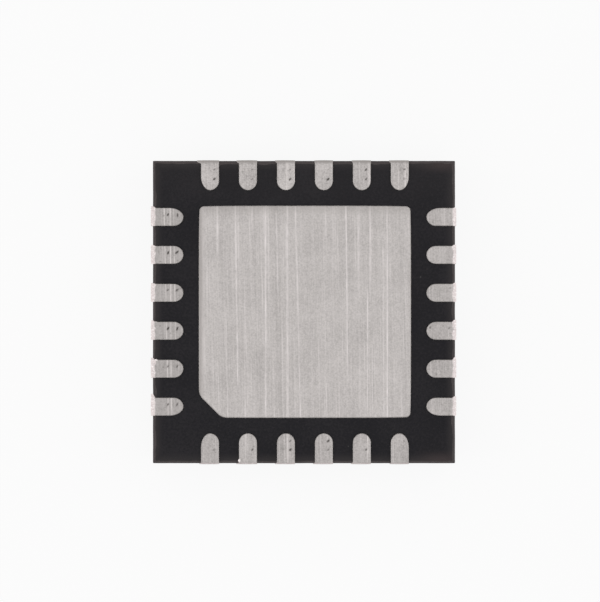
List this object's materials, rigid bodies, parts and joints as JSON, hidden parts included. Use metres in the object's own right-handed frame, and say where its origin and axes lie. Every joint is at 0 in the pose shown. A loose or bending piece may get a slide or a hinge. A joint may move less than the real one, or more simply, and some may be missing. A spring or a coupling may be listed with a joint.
{
  "type": "quad flat no-lead chip package",
  "caption": "Flat square leadless chip package with solder lands along its edges and a bare thermal pad that has a chamfered corner.",
  "frame": {"origin": "centre of the flat top face of the package, on which it lies", "axes": "+Z out of the thermal pad and the lands, +X and +Y along the sides, with the pad's chamfered corner at -X and -Y"},
  "size_m": [0.004, 0.004, 0.0008],
  "materials": {
    "mould": "matte black filled epoxy",
    "tin": "matte tin plate over copper",
    "adhesive": "silver filled epoxy",
    "silicon": "polished silicon",
    "gold": "bright gold wire"
  },
  "bodies": {
    "root": {"package_body": "mould", "die_paddle": "tin", "die_attach": "adhesive", "die": "silicon", "lead_1": "tin", "lead_2": "tin", "lead_3": "tin", "lead_4": "tin", "lead_5": "tin", "lead_6": "tin", "lead_7": "tin", "lead_8": "tin", "lead_9": "tin", "lead_10": "tin", "lead_11": "tin", "lead_12": "tin", "lead_13": "tin", "lead_14": "tin", "lead_15": "tin", "lead_16": "tin", "lead_17": "tin", "lead_18": "tin", "lead_19": "tin", "lead_20": "tin", "lead_21": "tin", "lead_22": "tin", "lead_23": "tin", "lead_24": "tin", "bond_wire_1": "gold", "bond_wire_2": "gold", "bond_wire_3": "gold", "bond_wire_4": "gold", "bond_wire_5": "gold", "bond_wire_6": "gold", "bond_wire_7": "gold", "bond_wire_8": "gold", "bond_wire_9": "gold", "bond_wire_10": "gold", "bond_wire_11": "gold", "bond_wire_12": "gold", "bond_wire_13": "gold", "bond_wire_14": "gold", "bond_wire_15": "gold", "bond_wire_16": "gold", "bond_wire_17": "gold", "bond_wire_18": "gold", "bond_wire_19": "gold", "bond_wire_20": "gold", "bond_wire_21": "gold", "bond_wire_22": "gold", "bond_wire_23": "gold", "bond_wire_24": "gold"}
  },
  "joints": []
}
